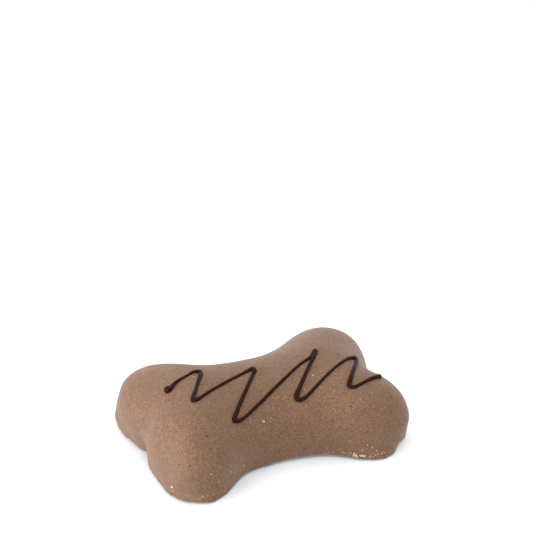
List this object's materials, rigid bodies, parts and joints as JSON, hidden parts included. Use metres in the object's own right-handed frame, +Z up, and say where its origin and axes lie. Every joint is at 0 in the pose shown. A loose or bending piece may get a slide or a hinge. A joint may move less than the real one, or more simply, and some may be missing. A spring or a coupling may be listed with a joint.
{
  "type": "dog birthday cake",
  "caption": "Low bone-shaped cake with a flat base and a rounded top, coated all over in matt carob brown, with a dark zigzag drizzle piped along the top.",
  "frame": {"origin": "centre of the footprint, on the surface that the cake stands on", "axes": "+X along the bone, +Y to its back, +Z up"},
  "size_m": [0.1524, 0.1064, 0.0434],
  "materials": {
    "carob_coating": "matt milk-brown coating with a fine flour speckle",
    "dark_drizzle": "dark brown icing, satin, piped in a thin raised line"
  },
  "bodies": {
    "root": {"bone_cake": "carob_coating"}
  },
  "joints": []
}
